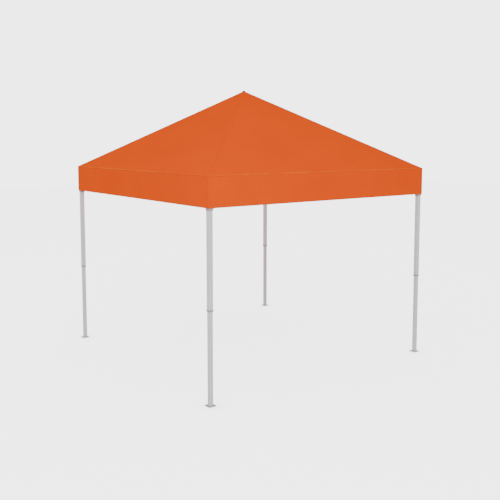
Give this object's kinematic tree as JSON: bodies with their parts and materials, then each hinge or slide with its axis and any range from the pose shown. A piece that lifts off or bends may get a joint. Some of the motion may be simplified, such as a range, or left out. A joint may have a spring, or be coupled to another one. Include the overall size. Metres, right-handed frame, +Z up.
{
  "type": "tarp shelter",
  "caption": "Pop-up square shelter: pyramid cloth canopy with a straight valance on telescopic legs and a folding scissor frame.",
  "frame": {"origin": "on the ground, under the peak", "axes": "+Z up, +X and +Y along the two pairs of sides; the front is towards -Y"},
  "size_m": [2.98, 2.98, 3.0779],
  "materials": {
    "canopy_cloth": "coated polyester, matt",
    "frame_steel": "pale grey powder coat",
    "bracket_plastic": "moulded grey nylon",
    "button_plastic": "moulded dark nylon"
  },
  "bodies": {
    "upper_hub": {"upper_hub": "bracket_plastic", "canopy": "canopy_cloth"},
    "lower_hub": {"lower_hub": "bracket_plastic", "peak_mast": "frame_steel"},
    "front_left_leg": {"front_left_upper_leg": "frame_steel"},
    "front_left_lower_leg": {"front_left_lower_leg": "frame_steel"},
    "front_left_slider": {"front_left_slider": "bracket_plastic"},
    "front_left_slider_button": {"front_left_slider_button": "button_plastic"},
    "front_right_leg": {"front_right_upper_leg": "frame_steel"},
    "front_right_lower_leg": {"front_right_lower_leg": "frame_steel"},
    "front_right_slider": {"front_right_slider": "bracket_plastic"},
    "front_right_slider_button": {"front_right_slider_button": "button_plastic"},
    "back_right_leg": {"back_right_upper_leg": "frame_steel"},
    "back_right_lower_leg": {"back_right_lower_leg": "frame_steel"},
    "back_right_slider": {"back_right_slider": "bracket_plastic"},
    "back_right_slider_button": {"back_right_slider_button": "button_plastic"},
    "back_left_leg": {"back_left_upper_leg": "frame_steel"},
    "back_left_lower_leg": {"back_left_lower_leg": "frame_steel"},
    "back_left_slider": {"back_left_slider": "bracket_plastic"},
    "back_left_slider_button": {"back_left_slider_button": "button_plastic"},
    "front_bar_1_falling": {"front_bar_1_falling": "frame_steel"},
    "front_bar_1_rising": {"front_bar_1_rising": "frame_steel"},
    "front_bar_2_falling": {"front_bar_2_falling": "frame_steel"},
    "front_bar_2_rising": {"front_bar_2_rising": "frame_steel"},
    "front_bar_3_falling": {"front_bar_3_falling": "frame_steel"},
    "front_bar_3_rising": {"front_bar_3_rising": "frame_steel"},
    "right_bar_1_falling": {"right_bar_1_falling": "frame_steel"},
    "right_bar_1_rising": {"right_bar_1_rising": "frame_steel"},
    "right_bar_2_falling": {"right_bar_2_falling": "frame_steel"},
    "right_bar_2_rising": {"right_bar_2_rising": "frame_steel"},
    "right_bar_3_falling": {"right_bar_3_falling": "frame_steel"},
    "right_bar_3_rising": {"right_bar_3_rising": "frame_steel"},
    "back_bar_1_falling": {"back_bar_1_falling": "frame_steel"},
    "back_bar_1_rising": {"back_bar_1_rising": "frame_steel"},
    "back_bar_2_falling": {"back_bar_2_falling": "frame_steel"},
    "back_bar_2_rising": {"back_bar_2_rising": "frame_steel"},
    "back_bar_3_falling": {"back_bar_3_falling": "frame_steel"},
    "back_bar_3_rising": {"back_bar_3_rising": "frame_steel"},
    "left_bar_1_falling": {"left_bar_1_falling": "frame_steel"},
    "left_bar_1_rising": {"left_bar_1_rising": "frame_steel"},
    "left_bar_2_falling": {"left_bar_2_falling": "frame_steel"},
    "left_bar_2_rising": {"left_bar_2_rising": "frame_steel"},
    "left_bar_3_falling": {"left_bar_3_falling": "frame_steel"},
    "left_bar_3_rising": {"left_bar_3_rising": "frame_steel"},
    "front_left_arm_1_falling": {"front_left_arm_1_falling": "frame_steel"},
    "front_left_arm_1_rising": {"front_left_arm_1_rising": "frame_steel"},
    "front_left_arm_2_falling": {"front_left_arm_2_falling": "frame_steel"},
    "front_left_arm_2_rising": {"front_left_arm_2_rising": "frame_steel"},
    "front_right_arm_1_falling": {"front_right_arm_1_falling": "frame_steel"},
    "front_right_arm_1_rising": {"front_right_arm_1_rising": "frame_steel"},
    "front_right_arm_2_falling": {"front_right_arm_2_falling": "frame_steel"},
    "front_right_arm_2_rising": {"front_right_arm_2_rising": "frame_steel"},
    "back_right_arm_1_falling": {"back_right_arm_1_falling": "frame_steel"},
    "back_right_arm_1_rising": {"back_right_arm_1_rising": "frame_steel"},
    "back_right_arm_2_falling": {"back_right_arm_2_falling": "frame_steel"},
    "back_right_arm_2_rising": {"back_right_arm_2_rising": "frame_steel"},
    "back_left_arm_1_falling": {"back_left_arm_1_falling": "frame_steel"},
    "back_left_arm_1_rising": {"back_left_arm_1_rising": "frame_steel"},
    "back_left_arm_2_falling": {"back_left_arm_2_falling": "frame_steel"},
    "back_left_arm_2_rising": {"back_left_arm_2_rising": "frame_steel"}
  },
  "joints": [
    {"name": "frame_fold", "type": "hinge", "parent": "upper_hub", "child": "front_left_arm_1_falling", "pos_m": [-0.02535, -0.02535, 2.137], "axis": [0.7071, -0.7071, 0], "range_deg": [0, 69.3]},
    {"name": "front_left_arm_cross_1", "type": "hinge", "parent": "front_left_arm_1_falling", "child": "front_left_arm_1_rising", "pos_m": [-0.35298, -0.35298, 2.0155], "axis": [0.7071, -0.7071, 0], "range_deg": [-138.62, 0]},
    {"name": "front_left_arm_top_joint", "type": "hinge", "parent": "front_left_arm_1_rising", "child": "front_left_arm_2_falling", "pos_m": [-0.72035, -0.72035, 2.15174], "axis": [0.7071, -0.7071, 0], "range_deg": [0, 138.62]},
    {"name": "front_left_arm_cross_2", "type": "hinge", "parent": "front_left_arm_2_falling", "child": "front_left_arm_2_rising", "pos_m": [-1.08773, -1.08773, 2.0155], "axis": [0.7071, -0.7071, 0], "range_deg": [-138.62, 0]},
    {"name": "front_left_corner_fold", "type": "hinge", "parent": "front_left_arm_2_rising", "child": "front_left_leg", "pos_m": [-1.41535, -1.41535, 2.137], "axis": [0.7071, -0.7071, 0], "range_deg": [0, 69.32]},
    {"name": "front_left_slider_fold", "type": "hinge", "parent": "front_left_arm_2_falling", "child": "front_left_slider", "pos_m": [-1.41535, -1.41535, 1.89399], "axis": [0.7071, -0.7071, 0], "range_deg": [-69.32, 0]},
    {"name": "lower_hub_fold", "type": "hinge", "parent": "front_left_arm_1_rising", "child": "lower_hub", "pos_m": [-0.02535, -0.02535, 1.89399], "axis": [0.7071, -0.7071, 0], "range_deg": [0, 69.32]},
    {"name": "front_right_hub_fold", "type": "hinge", "parent": "upper_hub", "child": "front_right_arm_1_falling", "pos_m": [0.02535, -0.02535, 2.137], "axis": [0.7071, 0.7071, 0], "range_deg": [0, 69.32]},
    {"name": "front_right_arm_cross_1", "type": "hinge", "parent": "front_right_arm_1_falling", "child": "front_right_arm_1_rising", "pos_m": [0.35298, -0.35298, 2.0155], "axis": [0.7071, 0.7071, 0], "range_deg": [-138.62, 0]},
    {"name": "front_right_arm_top_joint", "type": "hinge", "parent": "front_right_arm_1_rising", "child": "front_right_arm_2_falling", "pos_m": [0.72035, -0.72035, 2.15174], "axis": [0.7071, 0.7071, 0], "range_deg": [0, 138.62]},
    {"name": "front_right_arm_cross_2", "type": "hinge", "parent": "front_right_arm_2_falling", "child": "front_right_arm_2_rising", "pos_m": [1.08773, -1.08773, 2.0155], "axis": [0.7071, 0.7071, 0], "range_deg": [-138.62, 0]},
    {"name": "front_right_corner_fold", "type": "hinge", "parent": "front_right_arm_2_rising", "child": "front_right_leg", "pos_m": [1.41535, -1.41535, 2.137], "axis": [0.7071, 0.7071, 0], "range_deg": [0, 69.32]},
    {"name": "front_right_slider_fold", "type": "hinge", "parent": "front_right_arm_2_falling", "child": "front_right_slider", "pos_m": [1.41535, -1.41535, 1.89399], "axis": [0.7071, 0.7071, 0], "range_deg": [-69.32, 0]},
    {"name": "back_right_hub_fold", "type": "hinge", "parent": "upper_hub", "child": "back_right_arm_1_falling", "pos_m": [0.02535, 0.02535, 2.137], "axis": [-0.7071, 0.7071, 0], "range_deg": [0, 69.32]},
    {"name": "back_right_arm_cross_1", "type": "hinge", "parent": "back_right_arm_1_falling", "child": "back_right_arm_1_rising", "pos_m": [0.35298, 0.35298, 2.0155], "axis": [-0.7071, 0.7071, 0], "range_deg": [-138.62, 0]},
    {"name": "back_right_arm_top_joint", "type": "hinge", "parent": "back_right_arm_1_rising", "child": "back_right_arm_2_falling", "pos_m": [0.72035, 0.72035, 2.15174], "axis": [-0.7071, 0.7071, 0], "range_deg": [0, 138.62]},
    {"name": "back_right_arm_cross_2", "type": "hinge", "parent": "back_right_arm_2_falling", "child": "back_right_arm_2_rising", "pos_m": [1.08773, 1.08773, 2.0155], "axis": [-0.7071, 0.7071, 0], "range_deg": [-138.62, 0]},
    {"name": "back_right_corner_fold", "type": "hinge", "parent": "back_right_arm_2_rising", "child": "back_right_leg", "pos_m": [1.41535, 1.41535, 2.137], "axis": [-0.7071, 0.7071, 0], "range_deg": [0, 69.32]},
    {"name": "back_right_slider_fold", "type": "hinge", "parent": "back_right_arm_2_falling", "child": "back_right_slider", "pos_m": [1.41535, 1.41535, 1.89399], "axis": [-0.7071, 0.7071, 0], "range_deg": [-69.32, 0]},
    {"name": "back_left_hub_fold", "type": "hinge", "parent": "upper_hub", "child": "back_left_arm_1_falling", "pos_m": [-0.02535, 0.02535, 2.137], "axis": [-0.7071, -0.7071, 0], "range_deg": [0, 69.32]},
    {"name": "back_left_arm_cross_1", "type": "hinge", "parent": "back_left_arm_1_falling", "child": "back_left_arm_1_rising", "pos_m": [-0.35298, 0.35298, 2.0155], "axis": [-0.7071, -0.7071, 0], "range_deg": [-138.62, 0]},
    {"name": "back_left_arm_top_joint", "type": "hinge", "parent": "back_left_arm_1_rising", "child": "back_left_arm_2_falling", "pos_m": [-0.72035, 0.72035, 2.15174], "axis": [-0.7071, -0.7071, 0], "range_deg": [0, 138.62]},
    {"name": "back_left_arm_cross_2", "type": "hinge", "parent": "back_left_arm_2_falling", "child": "back_left_arm_2_rising", "pos_m": [-1.08773, 1.08773, 2.0155], "axis": [-0.7071, -0.7071, 0], "range_deg": [-138.62, 0]},
    {"name": "back_left_corner_fold", "type": "hinge", "parent": "back_left_arm_2_rising", "child": "back_left_leg", "pos_m": [-1.41535, 1.41535, 2.137], "axis": [-0.7071, -0.7071, 0], "range_deg": [0, 69.32]},
    {"name": "back_left_slider_fold", "type": "hinge", "parent": "back_left_arm_2_falling", "child": "back_left_slider", "pos_m": [-1.41535, 1.41535, 1.89399], "axis": [-0.7071, -0.7071, 0], "range_deg": [-69.32, 0]},
    {"name": "front_bar_1_fold", "type": "hinge", "parent": "front_left_leg", "child": "front_bar_1_falling", "pos_m": [-1.39, -1.45, 2.137], "axis": [0, 1, 0], "range_deg": [0, 69.32]},
    {"name": "front_cross_1", "type": "hinge", "parent": "front_bar_1_falling", "child": "front_bar_1_rising", "pos_m": [-0.92667, -1.45, 2.0155], "axis": [0, 1, 0], "range_deg": [-138.62, 0]},
    {"name": "front_top_joint_1", "type": "hinge", "parent": "front_bar_1_rising", "child": "front_bar_2_falling", "pos_m": [-0.46333, -1.45, 2.137], "axis": [0, 1, 0], "range_deg": [0, 138.62]},
    {"name": "front_cross_2", "type": "hinge", "parent": "front_bar_2_falling", "child": "front_bar_2_rising", "pos_m": [0, -1.45, 2.0155], "axis": [0, 1, 0], "range_deg": [-138.62, 0]},
    {"name": "front_bar_3_fold", "type": "hinge", "parent": "front_right_leg", "child": "front_bar_3_rising", "pos_m": [1.39, -1.45, 2.137], "axis": [0, 1, 0], "range_deg": [-69.32, 0]},
    {"name": "front_cross_3", "type": "hinge", "parent": "front_bar_3_rising", "child": "front_bar_3_falling", "pos_m": [0.92667, -1.45, 2.0155], "axis": [0, 1, 0], "range_deg": [0, 138.62]},
    {"name": "right_bar_1_fold", "type": "hinge", "parent": "front_right_leg", "child": "right_bar_1_falling", "pos_m": [1.45, -1.39, 2.137], "axis": [-1, 0, 0], "range_deg": [0, 69.32]},
    {"name": "right_cross_1", "type": "hinge", "parent": "right_bar_1_falling", "child": "right_bar_1_rising", "pos_m": [1.45, -0.92667, 2.0155], "axis": [-1, 0, 0], "range_deg": [-138.62, 0]},
    {"name": "right_top_joint_1", "type": "hinge", "parent": "right_bar_1_rising", "child": "right_bar_2_falling", "pos_m": [1.45, -0.46333, 2.137], "axis": [-1, 0, 0], "range_deg": [0, 138.62]},
    {"name": "right_cross_2", "type": "hinge", "parent": "right_bar_2_falling", "child": "right_bar_2_rising", "pos_m": [1.45, 0, 2.0155], "axis": [-1, 0, 0], "range_deg": [-138.62, 0]},
    {"name": "right_bar_3_fold", "type": "hinge", "parent": "back_right_leg", "child": "right_bar_3_rising", "pos_m": [1.45, 1.39, 2.137], "axis": [-1, 0, 0], "range_deg": [-69.32, 0]},
    {"name": "right_cross_3", "type": "hinge", "parent": "right_bar_3_rising", "child": "right_bar_3_falling", "pos_m": [1.45, 0.92667, 2.0155], "axis": [-1, 0, 0], "range_deg": [0, 138.62]},
    {"name": "back_bar_1_fold", "type": "hinge", "parent": "back_right_leg", "child": "back_bar_1_falling", "pos_m": [1.39, 1.45, 2.137], "axis": [0, -1, 0], "range_deg": [0, 69.32]},
    {"name": "back_cross_1", "type": "hinge", "parent": "back_bar_1_falling", "child": "back_bar_1_rising", "pos_m": [0.92667, 1.45, 2.0155], "axis": [0, -1, 0], "range_deg": [-138.62, 0]},
    {"name": "back_top_joint_1", "type": "hinge", "parent": "back_bar_1_rising", "child": "back_bar_2_falling", "pos_m": [0.46333, 1.45, 2.137], "axis": [0, -1, 0], "range_deg": [0, 138.62]},
    {"name": "back_cross_2", "type": "hinge", "parent": "back_bar_2_falling", "child": "back_bar_2_rising", "pos_m": [0, 1.45, 2.0155], "axis": [0, -1, 0], "range_deg": [-138.62, 0]},
    {"name": "back_bar_3_fold", "type": "hinge", "parent": "back_left_leg", "child": "back_bar_3_rising", "pos_m": [-1.39, 1.45, 2.137], "axis": [0, -1, 0], "range_deg": [-69.32, 0]},
    {"name": "back_cross_3", "type": "hinge", "parent": "back_bar_3_rising", "child": "back_bar_3_falling", "pos_m": [-0.92667, 1.45, 2.0155], "axis": [0, -1, 0], "range_deg": [0, 138.62]},
    {"name": "left_bar_1_fold", "type": "hinge", "parent": "back_left_leg", "child": "left_bar_1_falling", "pos_m": [-1.45, 1.39, 2.137], "axis": [1, 0, 0], "range_deg": [0, 69.32]},
    {"name": "left_cross_1", "type": "hinge", "parent": "left_bar_1_falling", "child": "left_bar_1_rising", "pos_m": [-1.45, 0.92667, 2.0155], "axis": [1, 0, 0], "range_deg": [-138.62, 0]},
    {"name": "left_top_joint_1", "type": "hinge", "parent": "left_bar_1_rising", "child": "left_bar_2_falling", "pos_m": [-1.45, 0.46333, 2.137], "axis": [1, 0, 0], "range_deg": [0, 138.62]},
    {"name": "left_cross_2", "type": "hinge", "parent": "left_bar_2_falling", "child": "left_bar_2_rising", "pos_m": [-1.45, 0, 2.0155], "axis": [1, 0, 0], "range_deg": [-138.62, 0]},
    {"name": "left_bar_3_fold", "type": "hinge", "parent": "front_left_leg", "child": "left_bar_3_rising", "pos_m": [-1.45, -1.39, 2.137], "axis": [1, 0, 0], "range_deg": [-69.32, 0]},
    {"name": "left_cross_3", "type": "hinge", "parent": "left_bar_3_rising", "child": "left_bar_3_falling", "pos_m": [-1.45, -0.92667, 2.0155], "axis": [1, 0, 0], "range_deg": [0, 138.62]},
    {"name": "front_left_leg_slide", "type": "slide", "parent": "front_left_leg", "child": "front_left_lower_leg", "axis": [0, 0, 1], "range_m": [0, 0.86]},
    {"name": "front_right_leg_slide", "type": "slide", "parent": "front_right_leg", "child": "front_right_lower_leg", "axis": [0, 0, 1], "range_m": [0, 0.86]},
    {"name": "back_right_leg_slide", "type": "slide", "parent": "back_right_leg", "child": "back_right_lower_leg", "axis": [0, 0, 1], "range_m": [0, 0.86]},
    {"name": "back_left_leg_slide", "type": "slide", "parent": "back_left_leg", "child": "back_left_lower_leg", "axis": [0, 0, 1], "range_m": [0, 0.86]},
    {"name": "front_left_button_press", "type": "slide", "parent": "front_left_slider", "child": "front_left_slider_button", "axis": [-1, 0, 0], "range_m": [0, 0.004], "stiffness_N_per_m": 800, "springref_m": -0.001},
    {"name": "front_right_button_press", "type": "slide", "parent": "front_right_slider", "child": "front_right_slider_button", "axis": [0, -1, 0], "range_m": [0, 0.004], "stiffness_N_per_m": 800, "springref_m": -0.001},
    {"name": "back_right_button_press", "type": "slide", "parent": "back_right_slider", "child": "back_right_slider_button", "axis": [1, 0, 0], "range_m": [0, 0.004], "stiffness_N_per_m": 800, "springref_m": -0.001},
    {"name": "back_left_button_press", "type": "slide", "parent": "back_left_slider", "child": "back_left_slider_button", "axis": [0, 1, 0], "range_m": [0, 0.004], "stiffness_N_per_m": 800, "springref_m": -0.001}
  ],
  "couplings": [
    {"joint": "front_left_arm_cross_1", "follows": "frame_fold", "ratio": -2},
    {"joint": "front_left_arm_top_joint", "follows": "frame_fold", "ratio": 2},
    {"joint": "front_left_arm_cross_2", "follows": "frame_fold", "ratio": -2},
    {"joint": "front_left_corner_fold", "follows": "frame_fold", "ratio": 1},
    {"joint": "front_left_slider_fold", "follows": "frame_fold", "ratio": -1},
    {"joint": "lower_hub_fold", "follows": "frame_fold", "ratio": 1},
    {"joint": "front_right_hub_fold", "follows": "frame_fold", "ratio": 1},
    {"joint": "front_right_arm_cross_1", "follows": "frame_fold", "ratio": -2},
    {"joint": "front_right_arm_top_joint", "follows": "frame_fold", "ratio": 2},
    {"joint": "front_right_arm_cross_2", "follows": "frame_fold", "ratio": -2},
    {"joint": "front_right_corner_fold", "follows": "frame_fold", "ratio": 1},
    {"joint": "front_right_slider_fold", "follows": "frame_fold", "ratio": -1},
    {"joint": "back_right_hub_fold", "follows": "frame_fold", "ratio": 1},
    {"joint": "back_right_arm_cross_1", "follows": "frame_fold", "ratio": -2},
    {"joint": "back_right_arm_top_joint", "follows": "frame_fold", "ratio": 2},
    {"joint": "back_right_arm_cross_2", "follows": "frame_fold", "ratio": -2},
    {"joint": "back_right_corner_fold", "follows": "frame_fold", "ratio": 1},
    {"joint": "back_right_slider_fold", "follows": "frame_fold", "ratio": -1},
    {"joint": "back_left_hub_fold", "follows": "frame_fold", "ratio": 1},
    {"joint": "back_left_arm_cross_1", "follows": "frame_fold", "ratio": -2},
    {"joint": "back_left_arm_top_joint", "follows": "frame_fold", "ratio": 2},
    {"joint": "back_left_arm_cross_2", "follows": "frame_fold", "ratio": -2},
    {"joint": "back_left_corner_fold", "follows": "frame_fold", "ratio": 1},
    {"joint": "back_left_slider_fold", "follows": "frame_fold", "ratio": -1},
    {"joint": "front_bar_1_fold", "follows": "frame_fold", "ratio": 1},
    {"joint": "front_cross_1", "follows": "frame_fold", "ratio": -2},
    {"joint": "front_top_joint_1", "follows": "frame_fold", "ratio": 2},
    {"joint": "front_cross_2", "follows": "frame_fold", "ratio": -2},
    {"joint": "front_bar_3_fold", "follows": "frame_fold", "ratio": -1},
    {"joint": "front_cross_3", "follows": "frame_fold", "ratio": 2},
    {"joint": "right_bar_1_fold", "follows": "frame_fold", "ratio": 1},
    {"joint": "right_cross_1", "follows": "frame_fold", "ratio": -2},
    {"joint": "right_top_joint_1", "follows": "frame_fold", "ratio": 2},
    {"joint": "right_cross_2", "follows": "frame_fold", "ratio": -2},
    {"joint": "right_bar_3_fold", "follows": "frame_fold", "ratio": -1},
    {"joint": "right_cross_3", "follows": "frame_fold", "ratio": 2},
    {"joint": "back_bar_1_fold", "follows": "frame_fold", "ratio": 1},
    {"joint": "back_cross_1", "follows": "frame_fold", "ratio": -2},
    {"joint": "back_top_joint_1", "follows": "frame_fold", "ratio": 2},
    {"joint": "back_cross_2", "follows": "frame_fold", "ratio": -2},
    {"joint": "back_bar_3_fold", "follows": "frame_fold", "ratio": -1},
    {"joint": "back_cross_3", "follows": "frame_fold", "ratio": 2},
    {"joint": "left_bar_1_fold", "follows": "frame_fold", "ratio": 1},
    {"joint": "left_cross_1", "follows": "frame_fold", "ratio": -2},
    {"joint": "left_top_joint_1", "follows": "frame_fold", "ratio": 2},
    {"joint": "left_cross_2", "follows": "frame_fold", "ratio": -2},
    {"joint": "left_bar_3_fold", "follows": "frame_fold", "ratio": -1},
    {"joint": "left_cross_3", "follows": "frame_fold", "ratio": 2}
  ]
}
